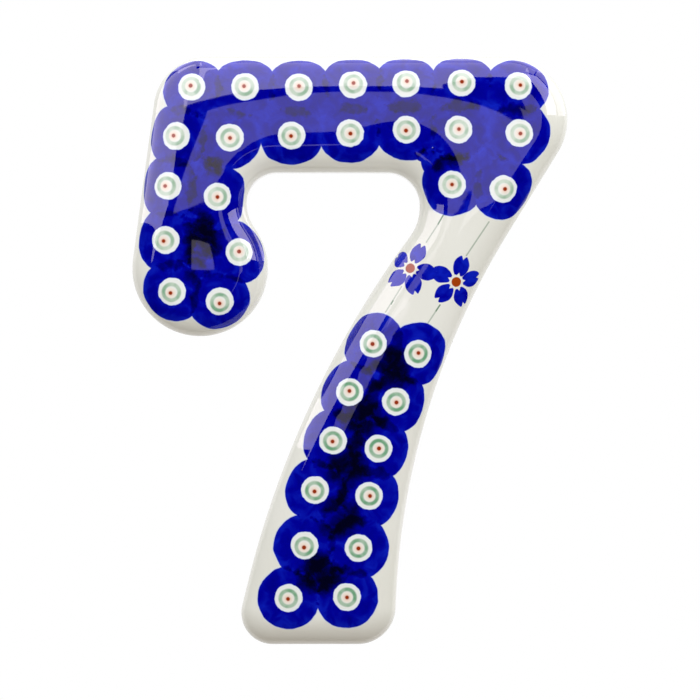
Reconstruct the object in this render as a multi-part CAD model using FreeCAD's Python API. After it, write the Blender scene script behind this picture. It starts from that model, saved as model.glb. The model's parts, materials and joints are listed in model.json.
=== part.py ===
"""A glazed stoneware house number, the figure seven, cast in one piece.

It is a hollow drain cast: a smooth front with wide, soft shoulders, a flat back, and one
even wall all round. Two round holes in the back wall take the heads of the screws or nails that
it hangs on. They also let the air out of the hollow in the kiln.

Frame: +Z is up, the front faces -Y and the back lies on the wall plane Y = 0. The origin is
on that plane, midway between the two hanging holes, which are on the bar's middle line.
Lengths are in millimetres and angles in degrees. A drop is measured down from the top edge
and a rise up from the foot. Corners are placed as sharp corners, before they are rounded.
"""

import FreeCAD, Part
import math
import os

from FreeCAD import Vector

# Bar along the top, and the nose where it turns down into the leg
height = 155.0
bar_depth = 30.5
bar_left_x = -50.1
bar_right_x = 70.5
top_left_radius = 14.0
nose_radius = 16.5

# Hook that hangs from the bar's left end: a waist, then a swell into a round end
hook_x = -39.6
hook_drop = 55.8
hook_radius = 17.9
hook_swell = 32.5
hook_inner_x = -27.3
hook_inner_radius = 8.0
hook_waist_radius = 10.9

# Leg, which starts at the throat, bends at its knee and widens to its foot
throat_x = 18.4
throat_radius = 8.6
throat_heel_drop = 43.8
throat_heel_radius = 13.2
knee_outer_x = 14.1
knee_outer_rise = 63.8
knee_outer_radius = 200.0
knee_inner_x = -14.9
knee_inner_rise = 65.4
knee_inner_radius = 258.0
foot_right_x = 11.7
foot_left_x = -31.0
foot_right_radius = 10.0
foot_left_radius = 8.3

# Section through a stroke: a nearly flat front, soft shoulders and a flat back
thickness = 20.0
shoulder_radius = 7.5
back_edge_bevel = 1.5

# Hollow inside
wall = 5.0
hollow_corner_radius = 2.5
hollow_bevel = 1.5

# Hanging holes
hole_spacing = 76.0
hole_radius = 4.5

# Small amounts: a cutting tool's reach past the solid, and what counts as no length at all
cut_clearance = 1.0
no_length = 0.05

top = bar_depth / 2
foot = top - height


def point_at(centre, radius, angle):
    """The point of a circle that lies at an angle from the X axis."""
    across = radius * math.cos(math.radians(angle))
    up = radius * math.sin(math.radians(angle))
    return centre[0] + across, centre[1] + up


def meeting(point, slant, other, other_slant):
    """Where two lines cross. A slant is a line's angle from the X axis."""
    ax, az = point_at((0, 0), 1, slant)
    bx, bz = point_at((0, 0), 1, other_slant)
    dx, dz = other[0] - point[0], other[1] - point[1]
    along = (dx * bz - dz * bx) / (ax * bz - az * bx)
    return point[0] + along * ax, point[1] + along * az


def hook_corners():
    """The waist, and the two corners that hold the hook's round end."""
    centre = (hook_x, top - hook_drop)
    dx, dz = bar_left_x - centre[0], top - centre[1]
    left_angle = math.degrees(math.atan2(dz, dx) + math.acos(hook_radius / math.hypot(dx, dz)))
    left = point_at(centre, hook_radius, left_angle)
    swell = point_at(centre, hook_radius, hook_swell)
    bottom = (centre[0], centre[1] - hook_radius)
    waist = meeting(swell, hook_swell - 90, (hook_inner_x, 0), 90)
    low_right = meeting(swell, hook_swell - 90, bottom, 0)
    low_left = meeting(left, left_angle + 90, bottom, 0)
    return waist, low_right, low_left


def outline_corners():
    """The figure's corners, clockwise from the top left, each with its rounding radius."""
    waist, low_right, low_left = hook_corners()
    return [
        ((bar_left_x, top), top_left_radius),
        ((bar_right_x, top), nose_radius),
        ((knee_outer_x, foot + knee_outer_rise), knee_outer_radius),
        ((foot_right_x, foot), foot_right_radius),
        ((foot_left_x, foot), foot_left_radius),
        ((knee_inner_x, foot + knee_inner_rise), knee_inner_radius),
        ((throat_x, top - throat_heel_drop), throat_heel_radius),
        ((throat_x, -top), throat_radius),
        ((hook_inner_x, -top), hook_inner_radius),
        (waist, hook_waist_radius),
        (low_right, hook_radius),
        (low_left, hook_radius),
    ]


def half_angle(corners, i):
    """Half the angle, in radians, between the two sides that meet at corner i."""
    (x, z), _ = corners[i]
    (px, pz), _ = corners[i - 1]
    (nx, nz), _ = corners[(i + 1) % len(corners)]
    return Vector(px - x, 0, pz - z).getAngle(Vector(nx - x, 0, nz - z)) / 2


def fitted_corners(corners):
    """The corners, with two roundings that would overlap on their side made smaller to fit it."""
    count = len(corners)
    reaches = [radius / math.tan(half_angle(corners, i)) for i, (_, radius) in enumerate(corners)]
    fits = []
    for i in range(count):
        (x, z), _ = corners[i]
        (nx, nz), _ = corners[(i + 1) % count]
        side = math.hypot(nx - x, nz - z)
        fits.append(min(1.0, side / (reaches[i] + reaches[(i + 1) % count])))
    return [(point, radius * min(fits[i - 1], fits[i])) for i, (point, radius) in enumerate(corners)]


def inset_corners(corners, inset):
    """The corners of the hollow, whose outline keeps one distance inside the figure's."""
    count = len(corners)
    moved = []
    for i in range(count):
        (x, z), radius = corners[i]
        (px, pz), _ = corners[i - 1]
        (nx, nz), _ = corners[(i + 1) % count]
        arriving = math.degrees(math.atan2(z - pz, x - px))
        leaving = math.degrees(math.atan2(nz - z, nx - x))
        before = point_at((x, z), inset, arriving - 90)
        after = point_at((x, z), inset, leaving - 90)
        corner = meeting(before, arriving, after, leaving)
        if math.sin(math.radians(leaving - arriving)) < 0:
            moved.append((corner, max(radius - inset, hollow_corner_radius)))
        else:
            moved.append((corner, radius + inset))
    return moved


def rounded_face(corners):
    """The flat shape on the plane Y = 0, straight between corners and round at them."""
    count = len(corners)
    points = [Vector(x, 0, z) for (x, z), radius in corners]
    rounds = []
    for i in range(count):
        back = (points[i - 1] - points[i]).normalize()
        ahead = (points[(i + 1) % count] - points[i]).normalize()
        inward = (back + ahead).normalize()
        radius = corners[i][1]
        half = half_angle(corners, i)
        reach = radius / math.tan(half)
        crest = points[i] + inward * (radius / math.sin(half) - radius)
        rounds.append([points[i] + back * reach, crest, points[i] + ahead * reach])
    edges = []
    for i in range(count):
        start, crest, end = rounds[i]
        next_round = rounds[(i + 1) % count]
        straight = end.distanceToPoint(next_round[0]) > no_length
        if not straight:
            end = (end + next_round[0]) * 0.5
            next_round[0] = end
        edges.append(Part.Arc(start, crest, end).toShape())
        if straight:
            edges.append(Part.LineSegment(end, next_round[0]).toShape())
    return Part.Face(Part.Wire(edges))


def level_edges(block, depth):
    """The edges of a block that lie at one distance in front of the wall plane."""
    return [edge for edge in block.Edges if all(abs(v.Y + depth) < no_length for v in edge.Vertexes)]


def body_block(corners):
    """The solid figure, with its soft shoulders and its bevelled back edge."""
    block = rounded_face(corners).extrude(Vector(0, -thickness, 0))
    block = block.makeFillet(shoulder_radius, level_edges(block, thickness))
    return block.makeChamfer(back_edge_bevel, level_edges(block, 0))


def hollow_block(corners):
    """The hollow: the same figure one wall further in, with bevelled edges front and back."""
    block = rounded_face(inset_corners(corners, wall)).extrude(Vector(0, 2 * wall - thickness, 0))
    block.translate(Vector(0, -wall, 0))
    edges = level_edges(block, wall) + level_edges(block, thickness - wall)
    return block.makeChamfer(hollow_bevel, edges)


def hanging_hole(x):
    """A round hole through the back wall."""
    mouth = Vector(x, cut_clearance, 0)
    return Part.makeCylinder(hole_radius, wall + 2 * cut_clearance, mouth, Vector(0, -1, 0))


corners = fitted_corners(outline_corners())
number_seven = body_block(corners).cut(hollow_block(corners))
for side in (-1, 1):
    number_seven = number_seven.cut(hanging_hole(side * hole_spacing / 2))

print("valid", number_seven.isValid(), "solids", len(number_seven.Solids))
print("volume in ml", round(number_seven.Volume / 1000, 1))

os.makedirs("parts", exist_ok=True)
number_seven.exportStep("parts/number_seven.step")
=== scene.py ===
# %% [markdown]
# # A hand-stamped ceramic house number
#
# The object is one figure seven of hollow stoneware: slip cast, bisque fired, stamped by hand
# with cobalt "eyes", and dipped in a clear glaze. This script dresses the CAD solid of it. The
# CAD node gives the size, the place and the outline; the steps below model the finer skin of the
# figure over it, paint it with shader nodes, and light it like a small product studio.

# %% Load the CAD frame
import json
import math

import bmesh
import bpy
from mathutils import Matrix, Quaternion, Vector, geometry, noise

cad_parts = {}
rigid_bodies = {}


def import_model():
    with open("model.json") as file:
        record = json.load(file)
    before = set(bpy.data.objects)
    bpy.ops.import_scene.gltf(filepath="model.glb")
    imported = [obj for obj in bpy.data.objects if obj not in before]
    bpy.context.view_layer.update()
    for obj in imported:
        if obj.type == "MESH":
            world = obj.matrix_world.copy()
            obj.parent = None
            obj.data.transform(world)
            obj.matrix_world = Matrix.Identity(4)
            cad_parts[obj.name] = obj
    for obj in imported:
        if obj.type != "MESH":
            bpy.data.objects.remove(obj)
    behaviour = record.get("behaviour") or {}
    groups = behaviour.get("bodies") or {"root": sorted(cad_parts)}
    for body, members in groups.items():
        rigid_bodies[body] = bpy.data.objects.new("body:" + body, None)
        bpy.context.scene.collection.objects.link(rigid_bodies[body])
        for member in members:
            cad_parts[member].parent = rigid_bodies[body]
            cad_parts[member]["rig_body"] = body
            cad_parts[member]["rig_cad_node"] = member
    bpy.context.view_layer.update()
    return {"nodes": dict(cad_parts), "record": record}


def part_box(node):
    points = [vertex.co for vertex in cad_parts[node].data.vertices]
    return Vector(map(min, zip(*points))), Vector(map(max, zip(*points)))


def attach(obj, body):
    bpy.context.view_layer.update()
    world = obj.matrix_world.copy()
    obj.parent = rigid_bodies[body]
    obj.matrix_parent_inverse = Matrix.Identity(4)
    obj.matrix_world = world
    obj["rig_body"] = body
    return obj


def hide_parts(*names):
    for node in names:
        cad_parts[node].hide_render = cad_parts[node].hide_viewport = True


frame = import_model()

MM = 0.001
NODE = "number_seven"
BODY = "root"
cad_low, cad_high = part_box(NODE)
mount = frame["record"]["mounts"][0]["dims"]
HOLE_RADIUS = mount["hole_r_mm"] * MM
HOLE_X = mount["spacing_x_mm"] * MM / 2
print("CAD box in mm", [round(side / MM, 2) for side in cad_high - cad_low])

# %% [markdown]
# ## The outline
#
# The mould gave the figure one clean outline. The CAD node holds it as short straight chords,
# which would show as facets in a glossy reflection. So the line where the side wall meets the
# soft shoulder is read from the node, and each chord becomes a Bezier piece whose handles follow
# the chord between its two neighbours. That brings the arcs back and leaves straight runs straight.

# %% Read the outline and round it
SHOULDER_RADIUS = 7.5 * MM
FRONT_Y = cad_low.y
SHOULDER_Y = FRONT_Y + SHOULDER_RADIUS
POINT_SPACING = 0.7 * MM
SAME_PLACE = 0.002 * MM


def wall_line(node):
    """The outline's points in order, at the depth where the wall ends and the shoulder starts."""
    shape = bmesh.new()
    shape.from_mesh(node.data)
    bmesh.ops.remove_doubles(shape, verts=shape.verts, dist=SAME_PLACE)
    links = {}
    for edge in shape.edges:
        if all(abs(v.co.y - SHOULDER_Y) < SAME_PLACE for v in edge.verts):
            a, b = edge.verts
            links.setdefault(a.index, []).append(b)
            links.setdefault(b.index, []).append(a)
    shape.verts.ensure_lookup_table()
    start = min(links)
    line = [shape.verts[start]]
    before = None
    while True:
        onward = [v for v in links[line[-1].index] if before is None or v.index != before.index]
        before = line[-1]
        if onward[0].index == start:
            break
        line.append(onward[0])
    points = [v.co.copy() for v in line]
    shape.free()
    return points


def rounded_line(points):
    """The same outline with its arcs restored, as closely spaced points."""
    fine = []
    count = len(points)
    for i in range(count):
        before, a = points[i - 1], points[i]
        b, after = points[(i + 1) % count], points[(i + 2) % count]
        reach = (b - a).length / 3
        handle_a = a + (b - before).normalized() * reach
        handle_b = b - (after - a).normalized() * reach
        steps = max(1, math.ceil((b - a).length / POINT_SPACING))
        fine += geometry.interpolate_bezier(a, handle_a, handle_b, b, steps + 1)[:-1]
    return fine


def inside_box(point):
    """The point, moved if need be so that it isn't outside the CAD box."""
    return Vector([min(max(point[i], cad_low[i]), cad_high[i]) for i in range(3)])


node = frame["nodes"][NODE]
outline = [inside_box(point) for point in rounded_line(wall_line(node))]
turn = sum(a.x * b.z - b.x * a.z for a, b in zip(outline, outline[1:] + outline[:1]))
if turn < 0:
    outline.reverse()
print("outline points", len(outline))

# %% [markdown]
# ## The skin of the figure
#
# By hand, the figure is cut from a slab: a disc of clay is trimmed to the outline, its rim is
# rounded down all round, and the back is finished with a small wiped edge. Here a circle primitive
# is moved onto the outline, then inset again and again, a little further in and a little further
# forward each time, to turn the shoulder. The steps are finer where the shoulder runs out
# into the front, because a glossy front shows every break in its curve there.

# %% Helpers for edit mode
def deselect_everything():
    if bpy.context.object and bpy.context.object.mode != "OBJECT":
        bpy.ops.object.mode_set(mode="OBJECT")
    bpy.ops.object.select_all(action="DESELECT")


def edit(piece):
    """Opens one piece in edit mode, with nothing in it selected."""
    deselect_everything()
    bpy.context.view_layer.objects.active = piece
    piece.select_set(True)
    bpy.ops.object.mode_set(mode="EDIT")
    bpy.ops.mesh.select_all(action="DESELECT")


def select_faces(piece, wanted):
    """In edit mode, selects the faces for which wanted(face) is true, and counts them."""
    bpy.ops.mesh.select_mode(type="FACE")
    bpy.ops.mesh.select_all(action="DESELECT")
    shape = bmesh.from_edit_mesh(piece.data)
    chosen = [face for face in shape.faces if wanted(face)]
    for face in chosen:
        face.select_set(True)
    bmesh.update_edit_mesh(piece.data)
    return len(chosen)


def select_edges(piece, wanted):
    """In edit mode, selects the edges for which wanted(edge) is true, and counts them."""
    bpy.ops.mesh.select_mode(type="EDGE")
    bpy.ops.mesh.select_all(action="DESELECT")
    shape = bmesh.from_edit_mesh(piece.data)
    chosen = [edge for edge in shape.edges if wanted(edge)]
    for edge in chosen:
        edge.select_set(True)
    bmesh.update_edit_mesh(piece.data)
    return len(chosen)


print("edit mode helpers ready")

# %% Trim a disc to the outline
deselect_everything()
bpy.ops.mesh.primitive_circle_add(vertices=len(outline), radius=50 * MM, fill_type="NGON")
seven = bpy.context.object
seven.name = "glazed_seven"
seven.data.name = "glazed_seven"
for vertex, place in zip(seven.data.vertices, outline):
    vertex.co = place
seven.data.update()
edit(seven)
if seven.data.polygons[0].normal.y > 0:
    bpy.ops.mesh.select_all(action="SELECT")
    bpy.ops.mesh.flip_normals()
print("disc faces the front", seven.data.polygons[0].normal.y)

# %% Turn the shoulder with insets
SHOULDER_STEPS = 22
SHOULDER_EASING = 1.5


def round_over(radius, steps, easing):
    """Insets the selected face again and again, so that its rim follows a quarter circle."""
    inward, forward = 0.0, 0.0
    for step in range(1, steps + 1):
        tilt = math.pi / 2 * (1 - step / steps) ** easing
        new_inward = radius * (1 - math.sin(tilt))
        new_forward = radius * math.cos(tilt)
        bpy.ops.mesh.inset(thickness=new_inward - inward, depth=new_forward - forward)
        inward, forward = new_inward, new_forward


bpy.ops.mesh.select_mode(type="FACE")
bpy.ops.mesh.select_all(action="SELECT")
round_over(SHOULDER_RADIUS, SHOULDER_STEPS, SHOULDER_EASING)
bpy.ops.object.mode_set(mode="OBJECT")
print("front at", round(min(v.co.y for v in seven.data.vertices) / MM, 3), "mm")

# %% [markdown]
# The flat middle is still one big face. A real front is never quite flat, so it is sliced into
# small squares first, with a bisect for each line of the grid, and shaped afterwards.

# %% Slice the front into a grid
GRID_SPACING = 2.0 * MM


def is_front(face):
    return face.normal.y < -0.9999 and face.calc_center_median().y < FRONT_Y + SAME_PLACE


edit(seven)
for axis, low, high in ((0, cad_low.x, cad_high.x), (2, cad_low.z, cad_high.z)):
    lines = math.floor((high - low) / GRID_SPACING)
    for i in range(1, lines + 1):
        place = [0.0, 0.0, 0.0]
        normal = [0.0, 0.0, 0.0]
        place[axis] = low + i * GRID_SPACING
        normal[axis] = 1.0
        select_faces(seven, is_front)
        bpy.ops.mesh.bisect(plane_co=place, plane_no=normal)
front_faces = select_faces(seven, is_front)
bpy.ops.object.mode_set(mode="OBJECT")
print("front faces", front_faces)

# %% Draw out the side wall and wipe the back edge round
BACK_EDGE_RADIUS = 1.5 * MM
BACK_EDGE_STEPS = 6

edit(seven)
bpy.ops.mesh.select_mode(type="EDGE")
bpy.ops.mesh.select_non_manifold(extend=False)
wall_depth = -BACK_EDGE_RADIUS - SHOULDER_Y
for part in range(4):
    bpy.ops.mesh.extrude_edges_move(TRANSFORM_OT_translate={"value": (0, wall_depth / 4, 0)})
bpy.ops.mesh.edge_face_add()
bpy.ops.mesh.select_mode(type="FACE")
back_faces = select_faces(seven, lambda face: len(face.verts) == len(outline))
bpy.ops.mesh.select_all(action="SELECT")
bpy.ops.mesh.normals_make_consistent(inside=False)
select_faces(seven, lambda face: len(face.verts) == len(outline))
round_over(BACK_EDGE_RADIUS, BACK_EDGE_STEPS, 1.0)
bpy.ops.mesh.delete(type="FACE")
bpy.ops.object.mode_set(mode="OBJECT")
print("back at", round(max(v.co.y for v in seven.data.vertices) / MM, 3), "mm")

# %% [markdown]
# ## The front as it left the mould
#
# The front looks flat, yet the panels of the studio are mirrored in it as bands that end part of
# the way across each stroke. So every stroke is very slightly crowned: the bar and the hook fall
# a quarter of a millimetre from their middle to their shoulders and the leg three times that, and
# the front also sinks a little towards its two upper corners and towards the throat. Slip
# shrinks unevenly as it dries, which leaves a swell of a few hundredths of a millimetre. All of
# this is moved into the vertices in proportion to their height over the shoulder, so the
# outline stays where the CAD has it.

# %% Crown the strokes and add the swell
import numpy as np

BAR_CROWN = 0.24 * MM
LEG_CROWN = 0.8 * MM
CROWN_REACH = 15.0 * MM
LEG_REACH = 16.5 * MM
LEG_TOP_Z = -22 * MM
LEG_FULL_Z = -50 * MM
HOOK_SIDE_X = -22 * MM
HOOK_FOOT_Z = -60 * MM
CORNER_FALL = 1.0 * MM
CORNER_REACH = 45.0 * MM
CORNER_STRAIGHT = 23.0 * MM
THROAT = (16 * MM, -18 * MM)
THROAT_FALL = 0.38 * MM
THROAT_REACH = 21.5 * MM
SWELL = 0.018 * MM
SWELL_LENGTH = 24.0 * MM


def distance_to_outline(places):
    """How far each place is from the outline, seen from the front."""
    flat = np.array([(p.x, p.z) for p in places])
    starts = np.array([(p.x, p.z) for p in outline])
    sides = np.roll(starts, -1, axis=0) - starts
    lengths = (sides ** 2).sum(axis=1)
    nearest = np.full(len(flat), np.inf)
    for start, side, length in zip(starts, sides, lengths):
        offset = flat - start
        along = np.clip(offset @ side / length, 0, 1)
        gap = offset - along[:, None] * side
        nearest = np.minimum(nearest, (gap ** 2).sum(axis=1))
    return np.sqrt(nearest)


def bowl(distance, reach, straight=0.0):
    """Falls to 0 at the reach, where it is level, and has a straight side nearer than straight."""
    slope = 2 * (1 - straight / reach) / reach
    return (1 - min(max(distance, straight) / reach, 1.0)) ** 2 + slope * max(straight - distance, 0.0)


def fall_at(place, depth):
    """How far the front lies back from its highest level, at a depth inside the outline."""
    down_leg = min(max((LEG_TOP_Z - place.z) / (LEG_TOP_Z - LEG_FULL_Z), 0.0), 1.0)
    down_leg = down_leg ** 2 * (3 - 2 * down_leg)
    if place.x < HOOK_SIDE_X and place.z > HOOK_FOOT_Z:
        down_leg = 0.0
    fall = BAR_CROWN * (1 - down_leg) * bowl(depth, CROWN_REACH)
    fall += LEG_CROWN * down_leg * bowl(depth, LEG_REACH)
    for corner_x, straight in ((cad_low.x, 0.0), (cad_high.x, CORNER_STRAIGHT)):
        away = math.hypot(place.x - corner_x, place.z - cad_high.z)
        fall += CORNER_FALL * bowl(away, CORNER_REACH, straight)
    away = math.hypot(place.x - THROAT[0], place.z - THROAT[1])
    fall += THROAT_FALL * bowl(away, THROAT_REACH)
    return fall + SWELL * (1 + noise.noise(place / SWELL_LENGTH))


raised = [v for v in seven.data.vertices if v.co.y < SHOULDER_Y - SAME_PLACE]
depths = distance_to_outline([v.co for v in raised])
for vertex, depth in zip(raised, depths):
    fall = fall_at(vertex.co, depth)
    vertex.co.y = SHOULDER_Y + (vertex.co.y - SHOULDER_Y) * (1 - fall / SHOULDER_RADIUS)
seven.data.update()
print("front now from", round(min(v.co.y for v in raised) / MM, 3), "mm")

# %% [markdown]
# ## The hollow and the hanging holes
#
# Slip casting leaves a hollow, and two holes in the back wall open into it. Their walls are part
# of the CAD node, so a copy of the node is cut along the mouths of the holes, its outer skin is
# thrown away, and what is left becomes the lining of the new skin. The flat back is then
# filled in between the wiped edge and the two mouths, which get a small soft edge of their own.

# %% Take the lining from a copy of the CAD node
def on_hole_mouth(edge):
    return all(
        abs(v.co.y) < SAME_PLACE
        and abs(math.hypot(abs(v.co.x) - HOLE_X, v.co.z) - HOLE_RADIUS) < 0.1 * MM
        for v in edge.verts
    )


deselect_everything()
node.select_set(True)
bpy.context.view_layer.objects.active = node
bpy.ops.object.duplicate()
lining = bpy.context.object
lining.parent = None
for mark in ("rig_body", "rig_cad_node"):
    if mark in lining:
        del lining[mark]
edit(lining)
bpy.ops.mesh.select_all(action="SELECT")
bpy.ops.mesh.remove_doubles(threshold=SAME_PLACE)
mouth_edges = select_edges(lining, on_hole_mouth)
bpy.ops.mesh.mark_seam(clear=False)
select_faces(lining, is_front)
bpy.ops.mesh.select_linked(delimit={"SEAM"})
bpy.ops.mesh.delete(type="FACE")
bpy.ops.mesh.select_all(action="SELECT")
bpy.ops.mesh.mark_seam(clear=True)
bpy.ops.object.mode_set(mode="OBJECT")
lining_faces = len(lining.data.polygons)
print("mouth edges", mouth_edges, "lining faces", lining_faces)

# %% Join the lining to the skin and fill the back
MOUTH_EDGE = 0.5 * MM
MOUTH_STEPS = 3

deselect_everything()
glaze = bpy.data.materials.new("decorated_glaze")
clay = bpy.data.materials.new("bare_lining")
seven.data.materials.append(glaze)
seven.data.materials.append(clay)
lining.data.materials.clear()
lining.data.materials.append(clay)
for face in lining.data.polygons:
    face.material_index = 0
lining.select_set(True)
seven.select_set(True)
bpy.context.view_layer.objects.active = seven
bpy.ops.object.join()
seven.active_material_index = 0
edit(seven)
open_edges = select_edges(seven, lambda edge: edge.is_boundary)
bpy.ops.mesh.fill(use_beauty=True)
bpy.ops.mesh.select_all(action="SELECT")
bpy.ops.mesh.normals_make_consistent(inside=False)
select_edges(seven, on_hole_mouth)
bpy.ops.mesh.bevel(offset=MOUTH_EDGE, segments=MOUTH_STEPS)
left_open = select_edges(seven, lambda edge: not edge.is_manifold)
bpy.ops.object.mode_set(mode="OBJECT")
deselect_everything()
seven.select_set(True)
bpy.context.view_layer.objects.active = seven
bpy.ops.object.shade_smooth_by_angle(angle=math.radians(40))
clay_faces = sum(face.material_index == 1 for face in seven.data.polygons)
print("open edges filled", open_edges, "still open", left_open, "clay faces", clay_faces)

# %% [markdown]
# ## Where the stamps land
#
# A sponge stamp is round, and it stays round as it is rolled over the shoulder. So the figure
# carries a paint map: across the front it is simply X and Z in millimetres, and over the shoulder
# and down the wall it runs on by the length of the curve instead of its width seen from the front.

# %% Lay the paint map
PAINT_MAP = "Paint"


def paint_place(vertex):
    """The place of a vertex on the unrolled skin, in millimetres."""
    normal = vertex.normal
    flat = Vector((vertex.co.x, vertex.co.z))
    outward = Vector((normal.x, normal.z))
    if outward.length < 1e-6:
        return flat / MM
    outward.normalize()
    tilt = math.acos(max(-1.0, min(1.0, -normal.y)))
    rolled = SHOULDER_RADIUS * (min(tilt, math.pi / 2) - math.sin(min(tilt, math.pi / 2)))
    rolled += max(0.0, vertex.co.y - SHOULDER_Y)
    return (flat + outward * rolled) / MM


paint = seven.data.uv_layers.new(name=PAINT_MAP)
places = [paint_place(vertex) for vertex in seven.data.vertices]
for loop in seven.data.loops:
    paint.data[loop.index].uv = places[loop.vertex_index]
print("paint map laid on", len(places), "points")

# %% [markdown]
# ## Tools for the shader nodes

# %% Node helpers
def feed(tree, socket, value):
    """Links a socket to another one, or sets it to a plain value."""
    if isinstance(value, bpy.types.NodeSocket):
        tree.links.new(value, socket)
    else:
        socket.default_value = value


def maths(tree, operation, *values, clamp=False):
    made = tree.nodes.new("ShaderNodeMath")
    made.operation = operation
    made.use_clamp = clamp
    for socket, value in zip(made.inputs, values):
        feed(tree, socket, value)
    return made.outputs[0]


def vector_maths(tree, operation, *values, output="Vector"):
    made = tree.nodes.new("ShaderNodeVectorMath")
    made.operation = operation
    for socket, value in zip(made.inputs, values):
        feed(tree, socket, value)
    return made.outputs[output]


def ease(tree, value, start, end, low=0.0, high=1.0):
    """A smooth step: low where the value is at its start, high where it is at its end."""
    made = tree.nodes.new("ShaderNodeMapRange")
    made.interpolation_type = "SMOOTHSTEP"
    for socket, number in zip(made.inputs, (value, start, end, low, high)):
        feed(tree, socket, number)
    return made.outputs[0]


def blend(tree, factor, first, second, kind="RGBA"):
    made = tree.nodes.new("ShaderNodeMix")
    made.data_type = kind
    sockets = [s for s in made.inputs if s.enabled]
    for socket, value in zip(sockets, (factor, first, second)):
        feed(tree, socket, value)
    return [s for s in made.outputs if s.enabled][0]


def grain(tree, place, scale, detail=2.0, roughness=0.5, distortion=0.0):
    made = tree.nodes.new("ShaderNodeTexNoise")
    feed(tree, made.inputs["Vector"], place)
    feed(tree, made.inputs["Scale"], scale)
    feed(tree, made.inputs["Detail"], detail)
    feed(tree, made.inputs["Roughness"], roughness)
    feed(tree, made.inputs["Distortion"], distortion)
    return made.outputs["Fac"]


def new_group(name, inputs, outputs):
    """An empty node group with named sockets, and its two ends."""
    group = bpy.data.node_groups.new(name, "ShaderNodeTree")
    for label, kind in inputs:
        group.interface.new_socket(label, in_out="INPUT", socket_type="NodeSocket" + kind)
    for label, kind in outputs:
        group.interface.new_socket(label, in_out="OUTPUT", socket_type="NodeSocket" + kind)
    start = group.nodes.new("NodeGroupInput")
    end = group.nodes.new("NodeGroupOutput")
    return group, start.outputs, end.inputs


def use(tree, group, **values):
    """Places a node group and feeds its named inputs. Words are joined by _ in the call."""
    made = tree.nodes.new("ShaderNodeGroup")
    made.node_tree = group
    for label, value in values.items():
        feed(tree, made.inputs[label.replace("_", " ").capitalize()], value)
    return made.outputs


def colour(red, green, blue):
    """A colour as a screen shows it, from 0 to 255, as the linear values that shaders take."""
    def linear(value):
        value /= 255
        return value / 12.92 if value <= 0.04045 else ((value + 0.055) / 1.055) ** 2.4

    return (linear(red), linear(green), linear(blue), 1.0)


print("node helpers ready")

# %% [markdown]
# ## The round stamp
#
# Each stamp is a disc of cobalt cut from sponge. Its outer rim prints crisply on the bare body, but
# where two prints overlap, the wet colour runs together into soft dark blots that fire almost
# black. So the group puts out two things: a crisp cover, which is the same however many prints
# lie on each other, and a soft pigment, which adds up. It is placed once for each stamp, one
# after the other. It also hands on which stamp's middle is the nearest, because the eye is
# painted there.

# %% Node group: one print of the disc
PRINT_EDGE = 0.12
BLOT_SPREAD = 0.5


def disc_print_group():
    group, given, result = new_group(
        "Disc print",
        [("Paint", "Vector"), ("Wobble", "Float"), ("Blot", "Float"), ("Middle", "Vector"),
         ("Lean", "Vector"), ("Radius", "Float"), ("Soft", "Float"), ("Strength", "Float"),
         ("Cover", "Float"), ("Pigment", "Float"), ("Nearest", "Float"), ("Eye", "Vector"),
         ("Eye lean", "Vector")],
        [("Cover", "Float"), ("Pigment", "Float"), ("Nearest", "Float"), ("Eye", "Vector"),
         ("Eye lean", "Vector")],
    )
    local = vector_maths(group, "SUBTRACT", given["Paint"], given["Middle"])
    distance = vector_maths(group, "LENGTH", local, output="Value")
    past_rim = maths(group, "SUBTRACT", distance, given["Radius"])
    crisp = ease(group, maths(group, "ADD", past_rim, given["Wobble"]), PRINT_EDGE, -PRINT_EDGE)
    soft = ease(group, maths(group, "ADD", past_rim, given["Blot"]), BLOT_SPREAD,
                maths(group, "MULTIPLY", given["Soft"], -1.0))
    nearer = maths(group, "LESS_THAN", distance, given["Nearest"])
    feed(group, result["Cover"], maths(group, "MAXIMUM", crisp, given["Cover"]))
    feed(group, result["Pigment"], maths(group, "MULTIPLY_ADD", soft, given["Strength"], given["Pigment"]))
    feed(group, result["Nearest"], maths(group, "MINIMUM", distance, given["Nearest"]))
    feed(group, result["Eye"], blend(group, nearer, given["Eye"], local, "VECTOR"))
    feed(group, result["Eye lean"], blend(group, nearer, given["Eye lean"], given["Lean"], "VECTOR"))
    return group


disc_print = disc_print_group()
print("group", disc_print.name, "with", len(disc_print.nodes), "nodes")

# %% [markdown]
# The eye has a white ground, which was kept clear of cobalt, a pale brushed green ring that is
# denser on one side, and a red dot that bleeds a little orange. Dot and ring are never quite in
# the middle of the white, and the rim of the white is slightly ragged from the sponge.

# %% Node group: the eye
EYE_RADIUS = 3.63
EYE_RIM = 0.5
RAGGED_RIM = 0.4
RING_RADIUS = 2.08
RING_SOLID = 0.22
RING_FADE = 0.74
DOT_RADIUS = 0.5
DOT_GLOW = 0.95


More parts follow.
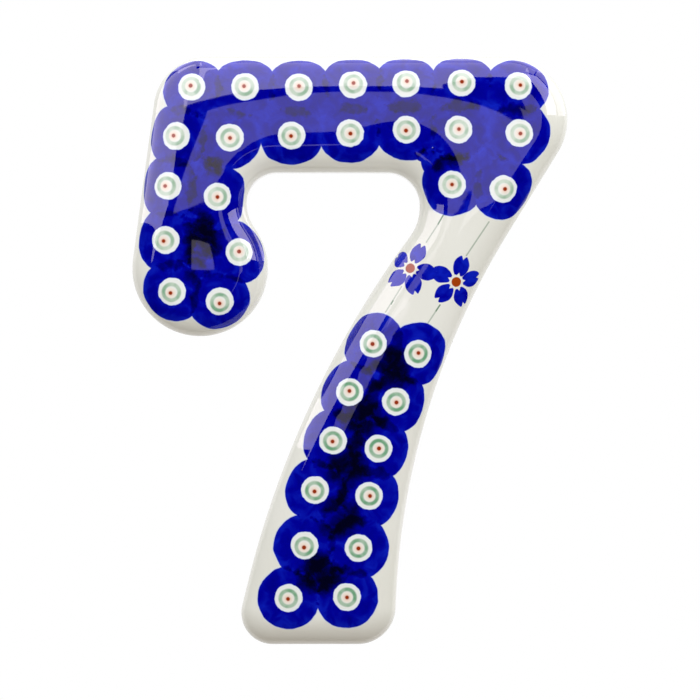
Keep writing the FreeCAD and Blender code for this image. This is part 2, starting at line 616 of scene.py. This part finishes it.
def eye_group():
    group, given, result = new_group(
        "Painted eye",
        [("Eye", "Vector"), ("Lean", "Vector"), ("Wobble", "Float"), ("Paint", "Vector")],
        [("Colour", "Color"), ("Mask", "Float")],
    )
    distance = vector_maths(group, "LENGTH", given["Eye"], output="Value")
    ragged = maths(group, "SUBTRACT", grain(group, given["Paint"], 0.7, detail=1.0), 0.5)
    wobbled = maths(group, "MULTIPLY_ADD", given["Wobble"], 0.4,
                    maths(group, "MULTIPLY_ADD", ragged, RAGGED_RIM, distance))
    ring_place = vector_maths(group, "SUBTRACT", given["Eye"],
                              vector_maths(group, "MULTIPLY", given["Lean"], (0.5, 0.5, 0.5)))
    ring_distance = vector_maths(group, "LENGTH", ring_place, output="Value")
    off_ring = maths(group, "ABSOLUTE", maths(group, "SUBTRACT", ring_distance, RING_RADIUS))
    ring = ease(group, off_ring, RING_FADE, RING_SOLID)
    patchy = ease(group, grain(group, given["Paint"], 0.26, detail=2.0), 0.36, 0.64, 0.0, 0.6)
    parts = group.nodes.new("ShaderNodeSeparateXYZ")
    feed(group, parts.inputs[0], given["Paint"])
    density = maths(group, "ADD", patchy, ease(group, parts.outputs["Y"], -35.0, -60.0, 0.0, 0.4))
    green = blend(group, density, colour(204, 220, 204), colour(108, 164, 126))
    dot_distance = vector_maths(group, "LENGTH",
                                vector_maths(group, "SUBTRACT", given["Eye"], given["Lean"]),
                                output="Value")
    rim = ease(group, wobbled, EYE_RADIUS - EYE_RIM, EYE_RADIUS)
    ground = blend(group, ease(group, dot_distance, 0.9, 1.9), colour(244, 232, 220), colour(240, 243, 240))
    ground = blend(group, rim, ground, colour(228, 238, 254))
    painted = blend(group, ring, ground, green)
    glow = ease(group, dot_distance, DOT_GLOW, DOT_RADIUS * 0.8)
    painted = blend(group, maths(group, "MULTIPLY", glow, 0.55), painted, colour(236, 150, 110))
    dot = ease(group, maths(group, "MULTIPLY_ADD", given["Wobble"], 0.3, dot_distance),
               DOT_RADIUS + 0.12, DOT_RADIUS - 0.12)
    painted = blend(group, dot, painted, colour(150, 52, 20))
    feed(group, result["Colour"], painted)
    feed(group, result["Mask"], ease(group, wobbled, EYE_RADIUS + PRINT_EDGE, EYE_RADIUS - PRINT_EDGE))
    return group


painted_eye = eye_group()
print("group", painted_eye.name, "with", len(painted_eye.nodes), "nodes")

# %% [markdown]
# ## The flowers
#
# A petal is one touch of a petal stamp: pointed at the flower's middle with a small nick there,
# widest beyond its half, and notched at its tip. One group draws one petal, turned by an
# angle, and five of them make a flower.

# %% Node group: one petal
PETAL_MIDDLE = 4.35
PETAL_HALF_LENGTH = 3.45
PETAL_HALF_WIDTH = 2.2
PETAL_START = 1.75
PETAL_END = 7.0
NOTCH_START = 6.1
NICK_END = 2.5
NOTCH_SLOPE = 0.6


def petal_group():
    group, given, result = new_group(
        "Petal",
        [("From middle", "Vector"), ("Angle", "Float"), ("Wobble", "Float"), ("Mask", "Float")],
        [("Mask", "Float")],
    )
    turned = group.nodes.new("ShaderNodeVectorRotate")
    turned.rotation_type = "Z_AXIS"
    feed(group, turned.inputs["Vector"], given["From middle"])
    feed(group, turned.inputs["Angle"], maths(group, "MULTIPLY", given["Angle"], -1.0))
    parts = group.nodes.new("ShaderNodeSeparateXYZ")
    feed(group, parts.inputs[0], turned.outputs[0])
    along = parts.outputs["X"]
    across = maths(group, "ABSOLUTE", parts.outputs["Y"])
    from_widest = maths(group, "DIVIDE", maths(group, "SUBTRACT", along, PETAL_MIDDLE), PETAL_HALF_LENGTH)
    lens = maths(group, "SUBTRACT", 1.0, maths(group, "MULTIPLY", from_widest, from_widest))
    half_width = maths(group, "MULTIPLY", lens, PETAL_HALF_WIDTH)
    inside = maths(group, "SUBTRACT", maths(group, "SUBTRACT", half_width, across), given["Wobble"])
    notch = maths(group, "SUBTRACT", across,
                  maths(group, "MULTIPLY", maths(group, "SUBTRACT", along, NOTCH_START), NOTCH_SLOPE))
    nick = maths(group, "SUBTRACT", across,
                 maths(group, "MULTIPLY", maths(group, "SUBTRACT", NICK_END, along), NOTCH_SLOPE))
    ends = maths(group, "MINIMUM", maths(group, "SUBTRACT", along, PETAL_START),
                 maths(group, "SUBTRACT", PETAL_END, along))
    depth = maths(group, "MINIMUM", maths(group, "MINIMUM", inside, ends), maths(group, "MINIMUM", notch, nick))
    mask = ease(group, depth, -PRINT_EDGE, PRINT_EDGE)
    feed(group, result["Mask"], maths(group, "MAXIMUM", mask, given["Mask"]))
    return group


petal = petal_group()
print("group", petal.name, "with", len(petal.nodes), "nodes")

# %% Node group: one stroke of a stem
STEM_SOFTNESS = 0.12


def stem_group():
    group, given, result = new_group(
        "Stem stroke",
        [("Paint", "Vector"), ("Start", "Vector"), ("End", "Vector"), ("Half width", "Float"),
         ("Strength", "Float"), ("Mask", "Float")],
        [("Mask", "Float")],
    )
    run = vector_maths(group, "SUBTRACT", given["End"], given["Start"])
    offset = vector_maths(group, "SUBTRACT", given["Paint"], given["Start"])
    share = maths(group, "DIVIDE", vector_maths(group, "DOT_PRODUCT", offset, run, output="Value"),
                  vector_maths(group, "DOT_PRODUCT", run, run, output="Value"), clamp=True)
    scaled = group.nodes.new("ShaderNodeVectorMath")
    scaled.operation = "SCALE"
    feed(group, scaled.inputs[0], run)
    feed(group, scaled.inputs["Scale"], share)
    off_line = vector_maths(group, "LENGTH", vector_maths(group, "SUBTRACT", offset, scaled.outputs[0]),
                            output="Value")
    edge = maths(group, "SUBTRACT", off_line, given["Half width"])
    stroke = maths(group, "MULTIPLY", ease(group, edge, STEM_SOFTNESS, -STEM_SOFTNESS), given["Strength"])
    feed(group, result["Mask"], maths(group, "MAXIMUM", stroke, given["Mask"]))
    return group


stem_stroke = stem_group()
print("group", stem_stroke.name, "with", len(stem_stroke.nodes), "nodes")

# %% [markdown]
# ## The decoration, read from the photograph
#
# The stamps were pressed by eye, so no formula gives their places. Each middle was read from the
# photograph, in pixels, together with how far its red dot leans from it. The helper
# turns a reading into millimetres on the paint map.

# %% Readings and their scale
CAMERA_HEIGHT = -62.1
PHOTO_MIDDLE = 350
MM_PER_PIXEL = 0.2627

TOP_ROW = ((191.5, 86.5, -1, -1), (245, 86.5, -1, -0.5), (299, 87, 0, -1), (353, 84.5, 0.5, -1.5),
           (406, 83.5, 1, -2.5), (461.5, 82.5, 0.5, -1), (518.5, 85.5, 2, -0.5))
SECOND_ROW = ((176, 136, -2.5, -0.5), (230, 137.5, 0, 0.5), (291.5, 135.5, -0.5, 0.5),
              (350, 133, 0.5, 0.5), (406.5, 129.5, -0.5, 1), (458.5, 129.5, 0.5, -0.5),
              (519.5, 133, 1, 0.5))
THIRD_ROW = ((167.5, 186, -2.5, 0), (217.5, 196.5, 0, 0.5), (452, 184.5, 0, 0), (503.5, 189, 1.5, 0))
HOOK_PRINTS = ((165.5, 240, -2, 1), (239.5, 252, -0.5, -0.5), (172, 291.5, -1.5, 1.5),
               (220, 301.5, -0.5, 2))
LEG_PRINTS = ((373, 343.5, -0.5, 0.5), (418, 354, 0.5, -1), (349.5, 392, 0, -1), (396, 401.5, 0.5, 1),
              (333, 440.5, -0.5, 1), (378.5, 448.5, 0.5, 0), (315, 490, -0.5, 1.5), (369, 496, 1, 0),
              (304.5, 545.5, -0.5, 2), (358.5, 548, 0, 0.5), (288.5, 598, -0.5, 1), (347, 597, 0, 0.5))
PRINT_RADIUS = 31.5

GAP_DABS = ((208, 112, 20, 0.4), (264, 115, 24, 0.4), (323, 112, 22, 0.4), (378, 109, 23, 0.4),
            (433.5, 105, 21, 0.4), (489.5, 109, 24, 0.5), (485, 156, 25, 0.6), (437, 163, 16, 1.2),
            (424, 153, 9, 1.5), (457, 158, 13, 1.3), (199, 164, 24, 0.8), (215, 165, 12, 1.6),
            (200, 226, 22, 1.8), (204, 242, 27, 2.0), (198, 268, 24, 1.4), (391, 370, 30, 1.9),
            (362, 417, 30, 1.9), (347, 468, 30, 2.0), (340, 518, 30, 1.9), (320, 574, 30, 2.4))

LEFT_FLOWER = (410, 268)
LEFT_PETAL_ANGLES = (63, 139, 215, 282, 347)
RIGHT_FLOWER = (456.5, 282)
RIGHT_PETAL_ANGLES = (73, 8, 293, 222, 152)
FLOWER_EYE_RADIUS = 1.3

STEM_STROKES = (((443, 215.5), (438, 224), 0.9), ((438, 224), (426, 242), 0.45),
                ((401.5, 286.5), (385.5, 312), 0.42), ((393, 300.5), (391, 304), 0.85),
                ((489, 222), (466.5, 255.5), 0.5), ((440, 305), (428, 323), 0.45),
                ((440, 305), (436, 311), 0.85))
STEM_HALF_WIDTH = 0.19


def on_paint(px, py):
    """A reading in the photograph as a place on the paint map, in millimetres."""
    across = (px - PHOTO_MIDDLE) * MM_PER_PIXEL
    up = CAMERA_HEIGHT - (py - PHOTO_MIDDLE) * MM_PER_PIXEL
    return (across, up, 0.0)


prints = TOP_ROW + SECOND_ROW + THIRD_ROW + HOOK_PRINTS + LEG_PRINTS
print("prints", len(prints), "dabs", len(GAP_DABS))

# %% [markdown]
# ## The glazed skin
#
# One material holds the whole skin, as one glaze does on the real figure: the off-white body,
# then stems, cobalt, petals and eyes in the order in which they were painted, and a clear
# glossy glaze over all. A single print of cobalt is a bright blue that thins a little to its rim
# and bleeds a trace into the glaze beside it. Overlaps and the dabs that fill the gaps between
# prints are darker and blotchy. Round the back the glaze was wiped off before firing, and the
# bare clay there is matt.

# %% Material: decorated glaze
BODY_WHITE = colour(238, 238, 231)
BODY_WARM = colour(232, 232, 223)
BLEED_BLUE = colour(206, 220, 250)
BLEED_REACH = 0.42
STEM_GREEN = colour(62, 118, 78)
FLOWER_EYE = colour(166, 66, 14)
BARE_CLAY = colour(226, 216, 197)
COBALT_STEPS = ((0.0, colour(60, 96, 222)), (0.16, colour(16, 38, 200)), (0.25, colour(2, 2, 158)),
                (0.34, colour(1, 1, 114)), (0.46, colour(1, 1, 62)), (0.6, colour(2, 2, 28)))
COBALT_FULL_SCALE = 4.0
RIM_THINNING = 0.14
THIN_REACH = 2.4
PRINT_SOFTNESS = 1.2
PRINT_STRENGTH = 0.72
BLOT_SIZE = 5.0
BLOT_SCALE = 0.27
GLAZE_ROUGHNESS = 0.015
BARE_ROUGHNESS = 0.8
GLAZE_LINE = -1.2 * MM
FAR_AWAY = 1000.0


def cobalt(tree, pigment):
    """The colour of cobalt under glaze, from a thin wash to three layers."""
    ramp = tree.nodes.new("ShaderNodeValToRGB")
    feed(tree, ramp.inputs[0], maths(tree, "DIVIDE", pigment, COBALT_FULL_SCALE))
    stops = ramp.color_ramp.elements
    while len(stops) < len(COBALT_STEPS):
        stops.new(0.5)
    for stop, (place, shade) in zip(stops, COBALT_STEPS):
        stop.position = place
        stop.color = shade
    return ramp.outputs[0]


def flower_mask(tree, place, middle, angles, wobble, mask):
    from_middle = vector_maths(tree, "SUBTRACT", place, on_paint(*middle))
    for angle in angles:
        mask = use(tree, petal, From_middle=from_middle, Angle=math.radians(angle),
                   Wobble=wobble, Mask=mask)["Mask"]
    distance = vector_maths(tree, "LENGTH", from_middle, output="Value")
    return mask, ease(tree, distance, FLOWER_EYE_RADIUS + PRINT_EDGE, FLOWER_EYE_RADIUS - PRINT_EDGE)


def paint_glaze(material):
    material.use_nodes = True
    tree = material.node_tree
    shader = tree.nodes["Principled BSDF"]
    laid_out = tree.nodes.new("ShaderNodeUVMap")
    laid_out.uv_map = PAINT_MAP
    place = laid_out.outputs[0]
    wobble = maths(tree, "MULTIPLY", maths(tree, "SUBTRACT", grain(tree, place, 0.22, detail=2.0), 0.5), 0.9)

    blot = maths(tree, "SUBTRACT", grain(tree, place, BLOT_SCALE, detail=3.0, roughness=0.6), 0.5)
    blot = maths(tree, "MULTIPLY", blot, BLOT_SIZE)

    cover, pigment, nearest = 0.0, 0.0, FAR_AWAY
    eye, lean = (FAR_AWAY, 0.0, 0.0), (0.0, 0.0, 0.0)
    for px, py, lean_x, lean_y in prints:
        result = use(tree, disc_print, Paint=place, Wobble=wobble, Blot=blot, Middle=on_paint(px, py),
                     Lean=(lean_x * MM_PER_PIXEL, -lean_y * MM_PER_PIXEL, 0.0),
                     Radius=PRINT_RADIUS * MM_PER_PIXEL, Soft=PRINT_SOFTNESS, Strength=PRINT_STRENGTH,
                     Cover=cover, Pigment=pigment, Nearest=nearest, Eye=eye, Eye_lean=lean)
        cover, pigment, nearest = (result[name] for name in ("Cover", "Pigment", "Nearest"))
        eye, lean = result["Eye"], result["Eye lean"]
    for px, py, radius, strength in GAP_DABS:
        radius *= MM_PER_PIXEL
        result = use(tree, disc_print, Paint=place, Wobble=wobble, Blot=blot, Middle=on_paint(px, py),
                     Radius=radius, Soft=radius, Strength=strength, Cover=cover, Pigment=pigment)
        cover, pigment = result["Cover"], result["Pigment"]

    petals, flower_eyes = 0.0, 0.0
    for middle, angles in ((LEFT_FLOWER, LEFT_PETAL_ANGLES), (RIGHT_FLOWER, RIGHT_PETAL_ANGLES)):
        petals, flower_eye = flower_mask(tree, place, middle, angles, wobble, petals)
        flower_eyes = maths(tree, "MAXIMUM", flower_eyes, flower_eye)
    stems = 0.0
    for start, end, strength in STEM_STROKES:
        stems = use(tree, stem_stroke, Paint=place, Start=on_paint(*start), End=on_paint(*end),
                    Half_width=STEM_HALF_WIDTH, Strength=strength, Mask=stems)["Mask"]

    wash = maths(tree, "SUBTRACT", grain(tree, place, 0.26, detail=4.0, distortion=0.8), 0.5)
    overlap = maths(tree, "MAXIMUM", maths(tree, "SUBTRACT", pigment, 1.0), 0.0)
    radius = PRINT_RADIUS * MM_PER_PIXEL
    thin = ease(tree, nearest, radius - THIN_REACH, radius, 0.0, RIM_THINNING)
    cobalt_laid = maths(tree, "SUBTRACT", maths(tree, "ADD", overlap, 1.0), thin)
    blotchy = maths(tree, "MULTIPLY_ADD", overlap, 1.6, 0.85)
    cobalt_laid = maths(tree, "MULTIPLY_ADD", wash, blotchy, cobalt_laid)
    cobalt_mask = maths(tree, "MAXIMUM", cover, petals)

    mottle = ease(tree, grain(tree, place, 0.03, detail=2.0), 0.3, 0.7)
    skin = blend(tree, mottle, BODY_WHITE, BODY_WARM)
    bleed = ease(tree, maths(tree, "ADD", nearest, wobble), radius + BLEED_REACH, radius, 0.0, 0.7)
    skin = blend(tree, bleed, skin, BLEED_BLUE)
    skin = blend(tree, stems, skin, STEM_GREEN)
    skin = blend(tree, cobalt_mask, skin, cobalt(tree, cobalt_laid))
    skin = blend(tree, flower_eyes, skin, FLOWER_EYE)
    eyes = use(tree, painted_eye, Eye=eye, Lean=lean, Wobble=wobble, Paint=place)
    skin = blend(tree, eyes["Mask"], skin, eyes["Colour"])

    where = tree.nodes.new("ShaderNodeTexCoord").outputs["Object"]
    depth = tree.nodes.new("ShaderNodeSeparateXYZ")
    feed(tree, depth.inputs[0], where)
    wiped = maths(tree, "MULTIPLY_ADD", grain(tree, where, 160.0), 0.8 * MM, depth.outputs["Y"])
    bare = ease(tree, wiped, GLAZE_LINE, GLAZE_LINE + 0.15 * MM)
    feed(tree, shader.inputs["Base Color"], blend(tree, bare, skin, BARE_CLAY))
    feed(tree, shader.inputs["Roughness"],
         blend(tree, bare, GLAZE_ROUGHNESS, BARE_ROUGHNESS, kind="FLOAT"))


def leave_clay_bare(material):
    material.use_nodes = True
    tree = material.node_tree
    shader = tree.nodes["Principled BSDF"]
    where = tree.nodes.new("ShaderNodeTexCoord").outputs["Object"]
    cloud = ease(tree, grain(tree, where, 90.0, detail=4.0), 0.3, 0.7)
    feed(tree, shader.inputs["Base Color"], blend(tree, cloud, colour(216, 206, 188), colour(200, 188, 168)))
    shader.inputs["Roughness"].default_value = BARE_ROUGHNESS


paint_glaze(glaze)
leave_clay_bare(clay)
print("materials", [m.name for m in seven.data.materials])

# %% Put the skin in the place of the CAD node
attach(seven, BODY)
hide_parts(NODE)
print("faces in the skin", len(seven.data.polygons))

# %% [markdown]
# ## The studio
#
# A product studio for glossy ware is mostly dark in front, so that only chosen panels are
# mirrored: low and tall ones round the camera, wide ones overhead, a near pair on the left, a
# far pair on the right, and two small cards. They are seen in the glaze only. A big soft lamp
# over the camera and the light of the room, a little stronger from the right, give the figure
# its plain exposure, and the backdrop behind it is white.

# %% Camera
CAMERA_DISTANCE = 1500.0
SENSOR_WIDTH = 36.0
PHOTO_WIDTH_MM = 700 * 0.26405

camera_data = bpy.data.cameras.new("camera")
camera_data.sensor_width = SENSOR_WIDTH
camera_data.lens = SENSOR_WIDTH * CAMERA_DISTANCE / PHOTO_WIDTH_MM
camera = bpy.data.objects.new("camera", camera_data)
bpy.context.scene.collection.objects.link(camera)
camera.location = (0, SHOULDER_Y - CAMERA_DISTANCE * MM, CAMERA_HEIGHT * MM)
camera.rotation_euler = (math.pi / 2, 0, 0)
bpy.context.scene.camera = camera
print("lens", round(camera_data.lens, 1), "mm")

# %% Lamps
POWER_PER_RADIANCE = 4.0
PANEL_TINT = (1.0, 0.9, 1.0)


def lamp(name, middle, facing, width, height, radiance, mirrored, roll=0.0):
    """A rectangular lamp. A mirrored one is seen in the glaze and lights nothing else."""
    light = bpy.data.lights.new(name, "AREA")
    light.shape = "RECTANGLE"
    light.size = width
    light.size_y = height
    light.energy = radiance * width * height * POWER_PER_RADIANCE
    made = bpy.data.objects.new(name, light)
    bpy.context.scene.collection.objects.link(made)
    made.location = middle
    turn = Vector(facing).to_track_quat("-Z", "Y") @ Quaternion((0, 0, 1), math.radians(roll))
    made.rotation_euler = turn.to_euler()
    made.visible_camera = False
    made.visible_glossy = mirrored
    made.visible_diffuse = not mirrored
    if mirrored:
        light.color = PANEL_TINT
    return made


lamp("low_panel", (-0.0435, -1.5, 0.0633), (0, 1, 0), 0.167, 0.0805, 1.3, True)
lamp("low_right_panel", (0.096, -1.5, 0.0468), (0, 1, 0), 0.112, 0.1135, 1.3, True)
lamp("tall_panel", (0.271, -1.5, 0.031), (0, 1, 0), 0.238, 0.182, 1.3, True)
lamp("tall_panel_top", (0.275, -1.5, 0.171), (0, 1, 0), 0.23, 0.098, 1.3, True)
lamp("card_by_leg", (-0.014, -0.32, -0.056), (0, 1, 0), 0.05, 0.015, 1.0, True, roll=59)
lamp("card_by_hook", (-0.0455, -0.32, -0.032), (0, 1, 0), 0.009, 0.01, 1.1, True)
lamp("overhead_front_panel", (-0.052, -1.109, 0.298), (0, 0.765, -1.7), 0.26, 0.853, 3.0, True)
lamp("overhead_panel", (0.119, -0.2609, 0.679), (0, 0.765, -1.7), 0.602, 1.007, 3.0, True)
lamp("rear_overhead_panel", (0, 0.55, 0.85), (0, -0.3, -1), 1.4, 0.68, 1.8, True)
lamp("left_corner_panel", (-0.425, 0.1125, 0.85), (0, 0, -1), 0.55, 0.195, 2.5, True)
lamp("left_gap_panel", (-0.215, -0.045, 0.85), (0, 0, -1), 0.12, 0.12, 2.5, True)
lamp("right_corner_panel", (0.51, -0.02, 0.85), (0, 0, -1), 0.18, 0.46, 2.5, True)
lamp("left_front_panel", (-0.1515, -0.245, 0.3675), (0, 1, 0), 0.177, 0.765, 3.0, True)
lamp("left_panel", (-0.24, -0.0775, 0.375), (1, 0, 0), 0.335, 0.75, 3.0, True)
lamp("right_panel", (0.827, -0.57, 0.75), (-0.766, 0.643, 0), 0.72, 1.26, 4.7, True)
lamp("far_right_panel", (1.0, 0.33, 0.75), (-1, 0, 0), 1.02, 1.3, 2.3, True)
lamp("room_lamp", (-0.5, -1.6, 1.5), (0.5, 1.6, -1.5), 1.8, 1.4, 1.0, False)

# %% World: white behind the figure, dark in front of it
ROOM_FRONT = 1.04
ROOM_BEHIND = 1.22
ROOM_BELOW = 0.43
ROOM_LEFT = 0.8
ROOM_RIGHT = 1.19
DARK_ROOM = 0.004

world = bpy.data.worlds.new("studio")
bpy.context.scene.world = world
world.use_nodes = True
tree = world.node_tree
background = tree.nodes["Background"]
background.inputs["Color"].default_value = (1, 1, 1, 1)
path = tree.nodes.new("ShaderNodeLightPath").outputs
direction = tree.nodes.new("ShaderNodeSeparateXYZ")
feed(tree, direction.inputs[0], tree.nodes.new("ShaderNodeTexCoord").outputs["Generated"])
behind = ease(tree, direction.outputs["Y"], 0.35, 0.6, DARK_ROOM, 1.0)
around = ease(tree, direction.outputs["Y"], -0.3, 0.5, ROOM_FRONT, ROOM_BEHIND)
around = maths(tree, "MULTIPLY", around, ease(tree, direction.outputs["Z"], -0.9, -0.2, ROOM_BELOW, 1.0))
around = maths(tree, "MULTIPLY", around,
               ease(tree, direction.outputs["X"], -0.6, 0.6, ROOM_LEFT, ROOM_RIGHT))
mirrored = maths(tree, "MAXIMUM", path["Is Glossy Ray"], path["Is Transmission Ray"])
level = blend(tree, mirrored, around, behind, kind="FLOAT")
level = blend(tree, path["Is Camera Ray"], level, 1.0, kind="FLOAT")
feed(tree, background.inputs["Strength"], level)
print("room level from", ROOM_FRONT, "in front to", ROOM_BEHIND, "behind")

# %% Floor
FLOOR_Z = cad_low.z - 58 * MM
FLOOR_SIZE = 1.0
FLOOR_SEEN = colour(246, 246, 245)
FLOOR_BOUNCE = colour(145, 138, 127)

deselect_everything()
bpy.ops.mesh.primitive_plane_add(size=FLOOR_SIZE, location=(0, 0.15, FLOOR_Z))
floor = bpy.context.object
floor.name = "floor"
floor_material = bpy.data.materials.new("pale_floor")
floor_material.use_nodes = True
floor_tree = floor_material.node_tree
floor_shader = floor_tree.nodes["Principled BSDF"]
seen = floor_tree.nodes.new("ShaderNodeLightPath").outputs["Is Camera Ray"]
feed(floor_tree, floor_shader.inputs["Base Color"], blend(floor_tree, seen, FLOOR_BOUNCE, FLOOR_SEEN))
floor_shader.inputs["Roughness"].default_value = 0.9
floor.data.materials.append(floor_material)
floor.visible_glossy = False

bpy.context.scene.view_settings.view_transform = "Standard"
